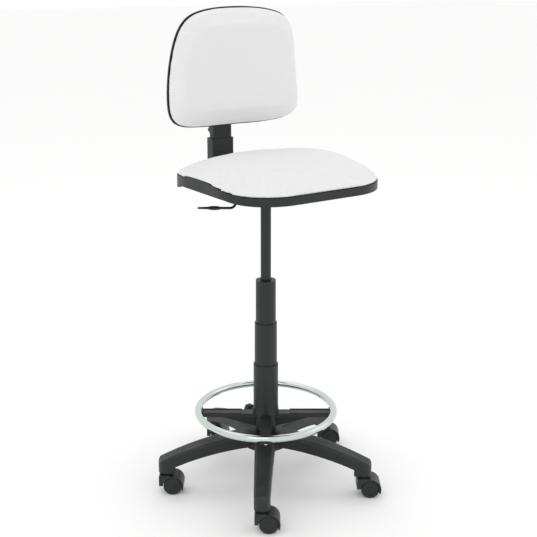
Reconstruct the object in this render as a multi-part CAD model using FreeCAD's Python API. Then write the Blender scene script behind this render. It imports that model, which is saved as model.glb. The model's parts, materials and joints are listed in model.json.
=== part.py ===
import FreeCAD, Part
import math
import os
from FreeCAD import Vector

# Drafting chair, millimetres. Origin on the floor under the column, +Z up, the seat faces -Y.

# Five-star base
leg_count = 5
leg_pitch_r = 283.7           # circle of the caster stems
leg_root_r = 30.0
leg_root_w = 58.0
leg_end_w = 42.0
leg_root_z = 149.5            # top line of a leg
leg_mid_r = 190.0
leg_mid_z = 131.5
leg_end_z = 105.0
leg_under_root_z = 113.0      # lower line of a leg
leg_under_mid_r = 165.0
leg_under_mid_z = 102.0
leg_under_end_z = 78.0
leg_wall = 4.0
leg_edge_r = 7.0
socket_face_z = 60.0
socket_depth = 24.0
rib_pitch = 42.0
rib_t = 3.0
hub_r = 38.0
hub_top_z = 150.0
hub_low_z = 90.0
hub_low_r = 34.0
web_r = 62.0                  # web between the legs, round the hub
web_t = 16.0

# Casters
wheel_d = 50.0
wheel_w = 18.0
wheel_gap = 17.0              # between the two wheels of a caster
wheel_dish = 2.0
hub_cap_d = 17.0
axle_d = 6.0
caster_trail = 17.5
hood_gap = 1.2
hood_t = 3.6
hood_web_t = 14.0
hood_from = -24.0             # degrees above the trailing side
hood_to = 150.0
cheek_reach = 19.0            # front of the hood, ahead of the stem
cheek_low_z = 27.0
stem_d = 11.0
stem_pin_d = 9.0
stem_pin_len = 21.0
stem_flange_d = 15.5
stem_flange_t = 2.0
swivel_gap = 0.5
bushing_wall = 3.5
caster_heading = 56.0         # azimuth that the casters trail towards, degrees

# Column
tube_d = 50.0
tube_wall = 1.5
tube_top_z = 580.0
tube_low_z = 70.0
tube_low_d = 48.6
plate_t = 4.0
bush_len = 280.0
bush_lip = 2.0
cyl_d = 28.0
cyl_wall = 2.0
cyl_low_z = 395.0
cyl_top_z = 838.0
cyl_taper = 46.0
cyl_tip_d = 26.6
seat_travel = 190.0
rod_d = 10.0
piston_t = 18.0
piston_rise = 30.0            # piston above the lower end of the cylinder, seat at the top
guide_t = 16.0
bearing_d = 26.0
bearing_t = 7.0
ball_d = 3.5
ball_count = 12
clip_d = 18.0
clip_t = 2.0
pin_d = 8.0
pin_len = 26.0
pin_head = 4.0
fit = 0.08                    # running clearance of a shaft in its bore
clear = 0.4                   # gap between pieces that move past each other

# Telescopic cover
cover_wall = 1.8
cover_draft = 0.5
cover_top_d = 55.0
cover_middle_d = 61.5
cover_bottom_d = 68.5
cover_top_z = 585.4
cover_step_one = 465.6
cover_step_two = 346.5
cover_overlap = 18.0
cover_foot_h = 24.0
cover_foot_flare = 1.6

# Foot ring
ring_r = 187.9                # centre line of the ring
ring_tube_d = 19.5
ring_z = 208.5
ring_hub_d = 58.0
ring_hub_low_z = 152.5
ring_hub_top_z = 202.0
spoke_count = 4
spoke_w = 29.0
spoke_t = 9.0
spoke_edge_h = 3.0
spoke_edge_w = 3.5
spoke_top_z = 203.0
spoke_turn = -34.0
saddle_w = 34.0
saddle_out = 6.0              # how far the saddle reaches past the ring's middle line
ring_screw_d = 5.0
knob_azimuth = -169.0
ring_knob_z = 190.0
ring_knob_d = 28.0
ring_knob_t = 17.0
ring_knob_face = 53.0         # from the axis to the near face of the knob
stud_d = 8.0
shoe_d = 11.0
shoe_t = 5.0
knob_lobes = 6

# Mechanism under the seat
cone_low_z = 788.0
cone_low_d = 38.0
cone_top_d = 60.0
box_l = 190.0
box_w = 108.0
box_h = 20.0
steel_t = 3.0
mech_top_z = 858.0
flange_l = 220.0
flange_w = 160.0
bolt_d = 8.0
bolt_x = 62.0
bolt_y = 90.0
pivot_x = -26.0
pivot_z = 846.5
pivot_d = 6.0
lever_d = 8.0
lever_out_x = -88.0
lever_low_x = -104.0
lever_low_z = 795.0
lever_grip_x = -135.0
lever_grip_end = -180.0
lever_tail_x = -208.0
lever_rise = 0.13             # slope of the outer half of the lever
grip_d = 13.0

# Seat
seat_w = 452.0
seat_l = 430.0
seat_corner = 132.0
seat_mid_y = -50.0
# Edges of the pan's band from the side: share of the seat's length from the front, height.
pan_low_edge = [
    (0.0, 851.0), (0.12, 852.0), (0.22, 856.0), (0.35, 864.5), (0.48, 869.5), (0.61, 867.5),
    (0.75, 854.0), (0.86, 846.5), (0.94, 848.0), (1.0, 849.0),
]
pan_high_edge = [
    (0.0, 871.0), (0.12, 872.0), (0.22, 875.5), (0.35, 883.0), (0.48, 888.5), (0.61, 887.5),
    (0.75, 882.0), (0.86, 878.5), (0.94, 877.0), (1.0, 876.5),
]
edge_run = 0.03               # the edges' curves run on this share past both ends
pan_wall = 3.0
board_t = 12.0
board_inset = 16.0
cushion_rise = 33.0           # above the pan's upper edge
cushion_over = 2.0
cushion_gap = 0.3
tee_d = 10.0
arm_bolt_x = 165.0
arm_bolt_y = 60.0
arm_bolt_d = 6.0

# Back support
bar_w = 50.0
bar_t = 6.0
bar_face_y = 218.0            # front face of the upright bar
bar_bend_r = 26.0
bar_front_y = 52.0
bar_top_z = 1066.0
cover_block_w = 68.0
cover_block_front = 207.0
cover_block_rear = 242.0
cover_block_low_z = 852.0
cover_block_top_z = 938.6
carriage_w = 58.0
carriage_front = 209.0
carriage_rear = 236.0
carriage_gap = 0.6
back_travel = 65.0
back_knob_d = 36.0
back_knob_t = 22.0
back_knob_z = 956.0
carriage_plate_low = 1004.0
carriage_plate_top = 1160.0
carriage_plate_w = 90.0

# Backrest
back_w = 404.0
back_low_z = 979.0
back_top_z = 1291.0
# Right half of the backrest from the front, bottom to top: shares of its half width and height.
back_profile = [
    (0.0, 0.0), (0.405, 0.003), (0.658, 0.016), (0.835, 0.042), (0.942, 0.09), (0.987, 0.154),
    (1.0, 0.244), (0.996, 0.34), (0.982, 0.452), (0.958, 0.574), (0.927, 0.683), (0.884, 0.782),
    (0.822, 0.862), (0.728, 0.922), (0.585, 0.962), (0.34, 0.99), (0.0, 1.0),
]
back_mid_y = 150.0            # front of the cushion on the middle line
back_bowl_r = 560.0           # the backrest is a piece of a bowl of this radius
back_bowl_z = 1082.0          # height of the bowl's deepest point
back_cushion_t = 40.0
back_shell_t = 4.0
shell_rim = 1.0
back_screw_d = 6.0
back_screw_x = 30.0
back_screw_z1 = 1090.0
back_screw_z2 = 1140.0


def cylinder(r, h, at=(0, 0, 0), axis=(0, 0, 1)):
    return Part.makeCylinder(r, h, Vector(*at), Vector(*axis))


def cone(r1, r2, h, at=(0, 0, 0), axis=(0, 0, 1)):
    return Part.makeCone(r1, r2, h, Vector(*at), Vector(*axis))


def pipe(r_out, r_in, h, at=(0, 0, 0), axis=(0, 0, 1)):
    return cylinder(r_out, h, at, axis).cut(cylinder(r_in, h, at, axis))


def block(low, high):
    size = [high[i] - low[i] for i in range(3)]
    return Part.makeBox(size[0], size[1], size[2], Vector(*low))


def face(points):
    return Part.Face(Part.makePolygon([Vector(*p) for p in points + points[:1]]))


def arc(a, b, c):
    return Part.Arc(Vector(*a), Vector(*b), Vector(*c)).toShape()


def line(a, b):
    return Part.LineSegment(Vector(*a), Vector(*b)).toShape()


def rodAlong(points, r, bend):
    """A round rod through points, with equal bends."""
    solids = []
    for a, b in zip(points, points[1:]):
        start = Vector(*a)
        way = Vector(*b) - start
        solids.append(Part.makeCylinder(r, way.Length, start, way))
    solids += [Part.makeSphere(r * bend, Vector(*p)) for p in points[1:-1]]
    return solids[0].multiFuse(solids[1:]).removeSplitter()


def turned(shape, degrees):
    copy = shape.copy()
    copy.rotate(Vector(0, 0, 0), Vector(0, 0, 1), degrees)
    return copy


def moved(shape, x, y, z):
    copy = shape.copy()
    copy.translate(Vector(x, y, z))
    return copy


def fuse(shapes):
    return shapes[0].multiFuse(shapes[1:]).removeSplitter()


def save(name, shape):
    solids = shape.Solids
    out = solids[0] if len(solids) == 1 else Part.makeCompound(solids)
    if not out.isValid():
        raise ValueError(name + " is not a valid shape")
    out.exportStep(os.path.join("parts", name + ".step"))
    print(name, len(solids), round(sum(s.Volume for s in solids)))


def roundedPlan(w, l, r, mid_y, z):
    """Outline of a rectangle with round corners, as one wire at height z."""
    x = w / 2
    y1 = mid_y - l / 2
    y2 = mid_y + l / 2
    k = r * (1 - math.sqrt(0.5))
    edges = [
        line((-x + r, y1, z), (x - r, y1, z)),
        arc((x - r, y1, z), (x - k, y1 + k, z), (x, y1 + r, z)),
        line((x, y1 + r, z), (x, y2 - r, z)),
        arc((x, y2 - r, z), (x - k, y2 - k, z), (x - r, y2, z)),
        line((x - r, y2, z), (-x + r, y2, z)),
        arc((-x + r, y2, z), (-x + k, y2 - k, z), (-x, y2 - r, z)),
        line((-x, y2 - r, z), (-x, y1 + r, z)),
        arc((-x, y1 + r, z), (-x + k, y1 + k, z), (-x + r, y1, z)),
    ]
    return Part.Wire(edges)


# Five-star base: a leg points along -Y and is turned into place.

def legSide(drop):
    """Side view of a leg, with its top lowered by drop."""
    top = arc((0, -leg_root_r, leg_root_z - drop), (0, -leg_mid_r, leg_mid_z - drop),
              (0, -leg_pitch_r, leg_end_z - drop))
    tip = leg_pitch_r + leg_end_w / 2
    nose = arc((0, -leg_pitch_r, leg_end_z - drop),
               (0, -(leg_pitch_r + leg_end_w * 0.38), leg_end_z - drop - leg_end_w * 0.2),
               (0, -tip, leg_under_end_z - drop))
    foot_r = leg_pitch_r - leg_end_w / 2
    edges = [
        top, nose,
        line((0, -tip, leg_under_end_z - drop), (0, -tip, socket_face_z)),
        line((0, -tip, socket_face_z), (0, -foot_r, socket_face_z)),
        line((0, -foot_r, socket_face_z), (0, -foot_r, leg_under_end_z)),
        arc((0, -foot_r, leg_under_end_z), (0, -leg_under_mid_r, leg_under_mid_z),
            (0, -leg_root_r, leg_under_root_z)),
        line((0, -leg_root_r, leg_under_root_z), (0, -leg_root_r, leg_root_z - drop)),
    ]
    return Part.Face(Part.Wire(edges))


def legBody(width_cut, drop):
    half_root = leg_root_w / 2 - width_cut
    half_end = leg_end_w / 2 - width_cut
    side = legSide(drop).extrude(Vector(leg_root_w, 0, 0))
    side.translate(Vector(-leg_root_w / 2, 0, 0))
    k = -leg_pitch_r
    plan = Part.Wire([
        line((-half_root, -leg_root_r, 0), (-half_end, k, 0)),
        arc((-half_end, k, 0), (0, k - half_end, 0), (half_end, k, 0)),
        line((half_end, k, 0), (half_root, -leg_root_r, 0)),
        line((half_root, -leg_root_r, 0), (-half_root, -leg_root_r, 0)),
    ])
    column = Part.Face(plan).extrude(Vector(0, 0, hub_top_z * 2))
    return side.common(column)


def topEdges(shape):
    """The long upper edges of a leg, one on each side."""
    found = []
    for edge in shape.Edges:
        box = edge.BoundBox
        long_one = box.YLength > (leg_pitch_r - leg_root_r) * 0.9
        if long_one and box.ZMax > leg_root_z - 1 and box.XMin * box.XMax > 0:
            found.append(edge)
    return found


def legShell():
    outer = legBody(0, 0)
    outer = outer.makeFillet(leg_edge_r, topEdges(outer))
    hollow_side = legBody(leg_wall, leg_wall)
    reach = leg_pitch_r - leg_end_w / 2 - leg_wall
    pockets = []
    start = web_r + rib_t
    while start < reach:
        stop = min(start + rib_pitch - rib_t, reach)
        keep = block((-leg_root_w, -stop, 0), (leg_root_w, -start, hub_top_z))
        pockets.append(hollow_side.common(keep))
        start += rib_pitch
    for pocket in pockets:
        lowered = fuse([pocket, moved(pocket, 0, 0, -leg_wall)])
        outer = outer.cut(lowered)
    return outer.cut(stemHole())


def stemHole():
    return cylinder(stem_d / 2, socket_depth, (0, -leg_pitch_r, socket_face_z))


def legAngles():
    return [180 + 360 * i / leg_count for i in range(leg_count)]


def starBase():
    hub = cone(hub_low_r, hub_r, hub_top_z - hub_low_z, (0, 0, hub_low_z))
    leg = legShell()
    web = cone(web_r, web_r - web_t / 2, web_t, (0, 0, leg_under_root_z - leg_wall))
    body = hub.fuse(web)
    for angle in legAngles():
        body = body.fuse(turned(leg, angle))
    return body.removeSplitter().cut(tubeOuter())


def casterStems():
    pin_low = socket_face_z - stem_flange_t - stem_pin_len
    stem = fuse([
        cylinder(stem_d / 2, socket_depth - 1, (0, -leg_pitch_r, socket_face_z)),
        cylinder(stem_flange_d / 2, stem_flange_t, (0, -leg_pitch_r, socket_face_z - stem_flange_t)),
        cylinder(stem_pin_d / 2, stem_pin_len, (0, -leg_pitch_r, pin_low)),
    ])
    return Part.makeCompound([turned(stem, angle) for angle in legAngles()])


# Casters: made at the origin with the stem on the Z axis and trailing along -Y.

def hoodTopZ():
    return socket_face_z - stem_flange_t - swivel_gap


def axleZ():
    return wheel_d / 2


def hoodSector(r, w):
    """A round sector about the axle, across the whole width w."""
    disc = cylinder(r, w, (-w / 2, -caster_trail, axleZ()), (1, 0, 0))
    away = wheel_d
    points = [(-away, -caster_trail, axleZ())]
    steps = 6                 # corners of the wedge, well outside the disc
    for i in range(steps + 1):
        a = math.radians(hood_from + (hood_to - hood_from) * i / steps)
        points.append((-away, -caster_trail - 2 * away * math.cos(a), axleZ() + 2 * away * math.sin(a)))
    wedge = face(points).extrude(Vector(2 * away, 0, 0))
    return disc.common(wedge)


def hoodCheek(width):
    """The deep front of the hood, under the end of the leg."""
    top = hoodTopZ()
    side = Part.Face(Part.Wire([
        line((-width / 2, cheek_reach, cheek_low_z), (-width / 2, cheek_reach, top - hood_t)),
        arc((-width / 2, cheek_reach, top - hood_t),
            (-width / 2, cheek_reach - hood_t * 0.3, top - hood_t * 0.3),
            (-width / 2, cheek_reach - hood_t, top)),
        line((-width / 2, cheek_reach - hood_t, top), (-width / 2, -stem_d, top)),
        line((-width / 2, -stem_d, top), (-width / 2, -stem_d, cheek_low_z)),
        line((-width / 2, -stem_d, cheek_low_z), (-width / 2, cheek_reach, cheek_low_z)),
    ]))
    return side.extrude(Vector(width, 0, 0))


def casterHood():
    r_in = wheel_d / 2 + hood_gap
    width = 2 * wheel_w + wheel_gap
    tunnel = cylinder(r_in, 2 * width, (-width, -caster_trail, axleZ()), (1, 0, 0))
    shell = hoodSector(r_in + hood_t, width).fuse(hoodCheek(width)).cut(tunnel)
    web = hoodSector(r_in + hood_t / 2, hood_web_t)
    boss_r = stem_pin_d / 2 + bushing_wall
    boss_low = hoodTopZ() - stem_pin_len
    axle_boss = cylinder(axle_d, hood_web_t, (-hood_web_t / 2, -caster_trail, axleZ()), (1, 0, 0))
    boss = cylinder(boss_r, stem_pin_len, (0, 0, boss_low))
    body = fuse([shell, web, axle_boss, boss])
    bore = cylinder(stem_pin_d / 2 + fit, stem_pin_len + 2, (0, 0, boss_low - 1))
    axle_hole = cylinder(axle_d / 2, wheel_gap * 2, (-wheel_gap, -caster_trail, axleZ()), (1, 0, 0))
    return body.cut(bore).cut(axle_hole)


def casterAxle():
    length = wheel_gap + 2 * (wheel_w - wheel_dish - 1)
    return cylinder(axle_d / 2, length, (-length / 2, -caster_trail, axleZ()), (1, 0, 0))


def casterWheel(side):
    r = wheel_d / 2
    inner = wheel_gap / 2
    edge = 1.5
    bore_r = axle_d / 2 + fit
    outer = inner + wheel_w
    floor = outer - wheel_dish
    outline = [
        (inner, bore_r), (inner, r - edge), (inner + edge, r), (outer - 2 * edge, r),
        (outer - wheel_dish / 2, r - 2 * edge), (floor, r * 0.72), (floor, hub_cap_d / 2),
        (outer - 0.5, hub_cap_d / 2 - 1), (outer - 0.5, 0), (floor - 0.8, 0), (floor - 0.8, bore_r),
    ]
    profile = face([(side * x, 0, z) for x, z in outline])
    wheel = profile.revolve(Vector(0, 0, 0), Vector(1, 0, 0), 360)
    return moved(wheel, 0, -caster_trail, axleZ())


def atCaster(shape, angle):
    """Turns a caster to its heading and moves it under its leg."""
    a = math.radians(angle)
    placed = turned(shape, caster_heading)
    return moved(placed, leg_pitch_r * math.sin(a), -leg_pitch_r * math.cos(a), 0)


# Column

def tubeOuter():
    taper = cone(tube_low_d / 2, tube_d / 2, hub_top_z - tube_low_z, (0, 0, tube_low_z))
    return taper.fuse(cylinder(tube_d / 2, tube_top_z - hub_top_z, (0, 0, hub_top_z)))


def columnTube():
    r_low = tube_low_d / 2 - tube_wall
    r_in = tube_d / 2 - tube_wall
    inner = cone(r_low, r_in, hub_top_z - tube_low_z, (0, 0, tube_low_z))
    inner = inner.fuse(cylinder(r_in, tube_top_z - hub_top_z, (0, 0, hub_top_z)))
    return tubeOuter().cut(inner)


def columnPlate():
    r = tube_low_d / 2 - tube_wall
    return pipe(r, rod_d / 2 + 1, plate_t, (0, 0, tube_low_z))


def guideBush():
    low = tube_top_z - bush_len
    bore = cyl_d / 2 + fit
    sleeve = pipe(tube_d / 2 - tube_wall, bore, bush_len, (0, 0, low))
    return sleeve.fuse(pipe(tube_d / 2, bore, bush_lip, (0, 0, tube_top_z)))


def pistonRod():
    low = tube_low_z - clip_t - 3
    top = cyl_low_z + piston_rise + piston_t
    rod = cylinder(rod_d / 2, top - low, (0, 0, low))
    piston = cylinder(cyl_d / 2 - cyl_wall - fit, piston_t, (0, 0, cyl_low_z + piston_rise))
    return rod.fuse(piston)


def thrustBearing():
    low = tube_low_z + plate_t
    washer_t = (bearing_t - ball_d) / 2 - 0.05
    lower = pipe(bearing_d / 2, rod_d / 2 + fit, washer_t, (0, 0, low + 0.05))
    upper = pipe(bearing_d / 2, rod_d / 2 + fit, washer_t, (0, 0, low + bearing_t - washer_t))
    race_r = (bearing_d / 2 + rod_d / 2) / 2
    mid = low + bearing_t / 2
    balls = []
    for i in range(ball_count):
        a = 2 * math.pi * i / ball_count
        centre = Vector(race_r * math.cos(a), race_r * math.sin(a), mid)
        balls.append(Part.makeSphere(ball_d / 2 - 0.05, centre))
    collar = pipe(bearing_d / 2 - 3, rod_d / 2, 6, (0, 0, low + bearing_t))
    return Part.makeCompound([lower, upper, collar] + balls)


def rodClip():
    return pipe(clip_d / 2, rod_d / 2, clip_t, (0, 0, tube_low_z - clip_t - 0.2))


def gasCylinder():
    body_top = cyl_top_z - cyl_taper
    outer = cylinder(cyl_d / 2, body_top - cyl_low_z, (0, 0, cyl_low_z))
    outer = outer.fuse(cone(cyl_d / 2, cyl_tip_d / 2, cyl_taper, (0, 0, body_top)))
    inner = cylinder(cyl_d / 2 - cyl_wall, body_top - cyl_low_z, (0, 0, cyl_low_z))
    return outer.cut(inner).cut(cylinder(pin_d / 2 + fit, cyl_taper, (0, 0, body_top)))


def cylinderGuide():
    return pipe(cyl_d / 2 - cyl_wall, rod_d / 2 + fit, guide_t, (0, 0, cyl_low_z))


def releasePin():
    low = cyl_top_z + pin_head - pin_len
    shaft = cylinder(pin_d / 2, pin_len - 1, (0, 0, low))
    return shaft.fuse(cone(pin_d / 2, pin_d / 2 - 1, 1, (0, 0, low + pin_len - 1)))


# Telescopic cover: each sleeve is wider at its foot

def sleeve(d, low, high, lip_r, foot):
    r = d / 2
    outer = cone(r, r - cover_draft, high - low, (0, 0, low))
    if foot:
        outer = outer.fuse(cone(r + cover_foot_flare, r, cover_foot_h, (0, 0, low)))
    inner = cone(r - cover_wall, r - cover_wall - cover_draft, high - low, (0, 0, low))
    top = pipe(r - cover_wall, lip_r, cover_wall, (0, 0, high - cover_wall))
    return outer.cut(inner).fuse(top).common(outer)


def coverTop():
    return sleeve(cover_top_d, cover_step_one - cover_overlap, cover_top_z, cyl_d / 2 + 1.5, False)


def coverMiddle():
    low = cover_step_two - cover_overlap
    return sleeve(cover_middle_d, low, cover_step_one, cover_top_d / 2 + clear, False)


def coverBottom():
    return sleeve(cover_bottom_d, ring_hub_top_z, cover_step_two, cover_middle_d / 2 + clear, True)


# Foot ring

def spokeAngles():
    return [spoke_turn + 360 * i / spoke_count for i in range(spoke_count)]


def ringTorus(r):
    return Part.makeTorus(ring_r, r, Vector(0, 0, ring_z), Vector(0, 0, 1))


def spoke():
    reach = ring_r + 1
    low = spoke_top_z - spoke_t
    half = spoke_w / 2
    plate = block((-half, -reach, low), (half, 0, spoke_top_z))
    rails = []
    for side in (-1, 1):
        x = side * (half - spoke_edge_w / 2)
        rails.append(block((x - spoke_edge_w / 2, -reach, low - spoke_edge_h),
                           (x + spoke_edge_w / 2, -ring_hub_d / 2 + 4, spoke_top_z + spoke_edge_h / 2)))
    web_depth = ring_hub_top_z - ring_hub_low_z
    web_low = low - web_depth * 0.7
    web = face([(-rib_t / 2, 0, low), (-rib_t / 2, -ring_r * 0.8, low),
                (-rib_t / 2, -ring_hub_d / 2, web_low), (-rib_t / 2, 0, web_low)])
    web = web.extrude(Vector(rib_t, 0, 0))
    saddle = cylinder(ring_tube_d / 2 + 3, saddle_w, (-saddle_w / 2, -ring_r, ring_z), (1, 0, 0))
    saddle = saddle.common(block((-saddle_w, -ring_r - saddle_out, ring_z - ring_tube_d),
                                 (saddle_w, -ring_r + ring_tube_d, ring_z - 1)))
    return fuse([plate, web, saddle] + rails)


def ringScrewHole(r, low, high):
    return cylinder(r, high - low, (0, -ring_r, low))


def ringHub():
    height = ring_hub_top_z - ring_hub_low_z
    collar = cylinder(ring_hub_d / 2, height, (0, 0, ring_hub_low_z))
    pieces = [collar] + [turned(spoke(), angle) for angle in spokeAngles()]
    boss_r = shoe_d / 2 + 4
    boss = cylinder(boss_r, ring_knob_face - 3, (0, 0, ring_knob_z), (0, 1, 0))
    pieces.append(turned(boss, knobTurn()))
    body = fuse(pieces)
    body = body.cut(cylinder(tube_d / 2 + clear, height + 40, (0, 0, ring_hub_low_z - 10)))
    body = body.cut(cylinder(cover_bottom_d, 20, (0, 0, ring_hub_top_z)))
    body = body.cut(ringTorus(ring_tube_d / 2))
    shoe_bore = cylinder(shoe_d / 2 + fit, ring_knob_face - 12, (0, 0, ring_knob_z), (0, 1, 0))
    stud_bore = cylinder(stud_d / 2 + fit, ring_knob_face, (0, 0, ring_knob_z), (0, 1, 0))
    body = body.cut(turned(shoe_bore.fuse(stud_bore), knobTurn()))
    for angle in spokeAngles():
        body = body.cut(turned(ringScrewHole(ring_screw_d / 2, ring_z - ring_tube_d, ring_z), angle))
        body = body.cut(turned(ringScrewHole(ring_screw_d + clear, ring_hub_low_z, ringScrewLow()), angle))
    return body


def ringScrewLow():
    """Under side of the spoke's seat for a screw head."""
    return ring_z - ring_tube_d / 2 - 3


def footRing():
    ring = ringTorus(ring_tube_d / 2).cut(ringTorus(ring_tube_d / 2 - 1.6))
    for angle in spokeAngles():
        ring = ring.cut(turned(ringScrewHole(ring_screw_d / 2, ring_z - ring_tube_d, ring_z), angle))
    return ring


def ringScrews():
    low = ringScrewLow()
    shank = cylinder(ring_screw_d / 2, ring_tube_d / 2, (0, -ring_r, low))
    head = cylinder(ring_screw_d, 2.5, (0, -ring_r, low - 2.5))
    screw = fuse([shank, head])
    return Part.makeCompound([turned(screw, angle) for angle in spokeAngles()])


def knobTurn():
    return 180 + knob_azimuth


def ringShoe():
    shoe = cylinder(shoe_d / 2, shoe_t, (0, tube_d / 2 + clear / 2, ring_knob_z), (0, 1, 0))
    return turned(shoe, knobTurn())


def knobHead(d, t, lobes):
    """A lobed hand knob along +Y with its near face at the origin."""
    core = cylinder(d / 2 * 0.86, t, (0, 0, 0), (0, 1, 0))
    grips = []
    for i in range(lobes):
        a = 2 * math.pi * i / lobes
        at = (d / 2 * 0.74 * math.cos(a), 0, d / 2 * 0.74 * math.sin(a))
        grips.append(cylinder(d / 2 * 0.26, t, at, (0, 1, 0)))
    neck = cylinder(d / 2 * 0.6, t * 0.25, (0, -t * 0.25, 0), (0, 1, 0))
    return fuse([core, neck] + grips)


def ringKnob():
    head = moved(knobHead(ring_knob_d, ring_knob_t, knob_lobes), 0, ring_knob_face + 5, ring_knob_z)
    start = tube_d / 2 + clear / 2 + shoe_t + 0.1
    stud = cylinder(stud_d / 2, ring_knob_face + 8 - start, (0, start, ring_knob_z), (0, 1, 0))
    return turned(head.fuse(stud), knobTurn())


# Mechanism

def mechanismHousing():
    box_low = mech_top_z - box_h
    outer = block((-box_w / 2, -box_l / 2, box_low), (box_w / 2, box_l / 2, mech_top_z))
    outer = outer.makeFillet(8, [e for e in outer.Edges if abs(e.BoundBox.ZLength - box_h) < 0.1])
    inner = block((-box_w / 2 + steel_t, -box_l / 2 + steel_t, box_low + steel_t),
                  (box_w / 2 - steel_t, box_l / 2 - steel_t, mech_top_z + 1))
    flange = block((-flange_w / 2, -flange_l / 2, mech_top_z - steel_t),
                   (flange_w / 2, flange_l / 2, mech_top_z))
    socket = cone(cone_low_d / 2, cone_top_d / 2, box_low - cone_low_z + steel_t, (0, 0, cone_low_z))
    body = fuse([outer, flange, socket]).cut(inner)
    body = body.cut(gasOuter())
    slot_half = lever_d / 2 + 1.2
    slot = block((-box_w, -slot_half, box_low), (pin_d * 1.5, slot_half, mech_top_z - steel_t - 1))
    body = body.cut(slot)
    for x in (-bolt_x, bolt_x):
        for y in (-bolt_y, bolt_y):
            body = body.cut(cylinder(bolt_d / 2, 20, (x, y, mech_top_z - 10)))
    for x, y in barBoltSpots():
        body = body.cut(cylinder(bolt_d / 2, 2 * steel_t, (x, y, box_low - steel_t / 2)))
    return body.cut(backBarSolid())


def gasOuter():
    body_top = cyl_top_z - cyl_taper
    outer = cylinder(cyl_d / 2, cyl_taper, (0, 0, body_top - cyl_taper))
    return outer.fuse(cone(cyl_d / 2, cyl_tip_d / 2, cyl_taper, (0, 0, body_top)))


def pivotShaft():
    half = lever_d * 2
    return cylinder(pivot_d / 2, 2 * half, (pivot_x, -half, pivot_z), (0, 1, 0))


def pivotBracket():
    low = mech_top_z - box_h + steel_t
    ears = []
    for side in (-1, 1):
        y = side * (lever_d / 2 + 1.5 + steel_t / 2)
        ears.append(block((pivot_x - 6, y - steel_t / 2, low),
                          (pivot_x + 6, y + steel_t / 2, mech_top_z - 5)))
    return Part.makeCompound([ear.cut(pivotShaft()) for ear in ears])


def leverPivot():
    half = lever_d / 2 + 1.5 + steel_t + 0.5
    return cylinder(pivot_d / 2, 2 * half, (pivot_x, -half, pivot_z), (0, 1, 0))


def leverPath():
    grip_z = lever_low_z + (lever_low_x - lever_grip_x) * lever_rise
    tail_z = grip_z + (lever_grip_x - lever_tail_x) * lever_rise
    return [(pivot_x + 31, 0, pivot_z), (pivot_x, 0, pivot_z), (lever_out_x + 26, 0, pivot_z - 4),
            (lever_out_x, 0, pivot_z - 30), (lever_low_x, 0, lever_low_z), (lever_tail_x, 0, tail_z)]


def liftLever():
    rod = rodAlong(leverPath(), lever_d / 2 - 0.5, 1.0)
    boss = cylinder(lever_d * 0.6, lever_d, (pivot_x, -lever_d / 2, pivot_z), (0, 1, 0))
    hole = cylinder(pivot_d / 2 + fit, lever_d * 2, (pivot_x, -lever_d, pivot_z), (0, 1, 0))
    return rod.fuse(boss).cut(hole)


def leverGrip():
    points = leverPath()
    start = Vector(*points[4])
    way = Vector(*points[5]) - start
    way.normalize()
    begin = (lever_low_x - lever_grip_x) / -way.x
    length = (lever_grip_x - lever_grip_end) / -way.x
    at = start + way * begin
    grip = Part.makeCylinder(grip_d / 2, length, at, way)
    grip = grip.makeFillet(grip_d / 2 * 0.6, [e for e in grip.Edges if e.Closed])
    hole = Part.makeCylinder(lever_d / 2 - 0.5, length * 2, at - way * length * 0.5, way)
    return grip.cut(hole)


# Seat

def panEdge(profile, add):
    """Points of one edge of the pan's band, front to rear, raised by add."""
    front = seat_mid_y - seat_l / 2
    ends = [(-edge_run, profile[0][1])] + profile + [(1 + edge_run, profile[-1][1])]
    return [Vector(-seat_w, front + seat_l * share, z + add) for share, z in ends]


def smoothEdge(points):
    curve = Part.BSplineCurve()
    curve.interpolate(points)
    return curve.toShape()


def sideBand(low_edge, low_add, high_edge, high_add):
    """A slab across the seat whose lower and upper faces follow two curved edges."""
    low = panEdge(low_edge, low_add)
    high = panEdge(high_edge, high_add)
    high.reverse()
    profile = Part.Wire([smoothEdge(low), line(low[-1], high[0]), smoothEdge(high), line(high[-1], low[0])])
    return Part.Face(profile).extrude(Vector(2 * seat_w, 0, 0))


def seatPlan(inset, z1, z2):
    wire = roundedPlan(seat_w - 2 * inset, seat_l - 2 * inset, seat_corner - inset, seat_mid_y, z1)
    return Part.Face(wire).extrude(Vector(0, 0, z2 - z1))


def seatBoard():
    plan = seatPlan(board_inset, mech_top_z, mech_top_z + board_t)
    for x, y in boltSpots() + armSpots():
        plan = plan.cut(cylinder(tee_d / 2, board_t * 2, (x, y, mech_top_z - board_t / 2)))
    return plan


def boltSpots():
    return [(x, y) for x in (-bolt_x, bolt_x) for y in (-bolt_y, bolt_y)]


def armSpots():
    return [(x, seat_mid_y + y) for x in (-arm_bolt_x, arm_bolt_x) for y in (-arm_bolt_y, arm_bolt_y)]


def seatPan():
    band = seatPlan(0, 0, 2 * mech_top_z).common(sideBand(pan_low_edge, 0, pan_high_edge, 0))
    low = mech_top_z - pan_wall
    room = seatPlan(board_inset - 0.5, low + pan_wall, 2 * mech_top_z)
    skirt = seatPlan(board_inset / 2, low, 2 * mech_top_z)
    skirt = skirt.common(sideBand(pan_low_edge, -mech_top_z / 2, pan_high_edge, 0))
    under = seatPlan(board_inset, 0, low)
    shell = band.fuse(skirt).cut(room).cut(under).removeSplitter()
    window = block((-flange_w / 2 - 1, -flange_l / 2 - 1, low - 40),
                   (flange_w / 2 + 1, flange_l / 2 + 1, mech_top_z + 1))
    shell = shell.cut(window)
    for x, y in armSpots():
        shell = shell.cut(cylinder(arm_bolt_d / 2 + 0.3, 60, (x, y, low - 30)))
    return shell


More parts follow.
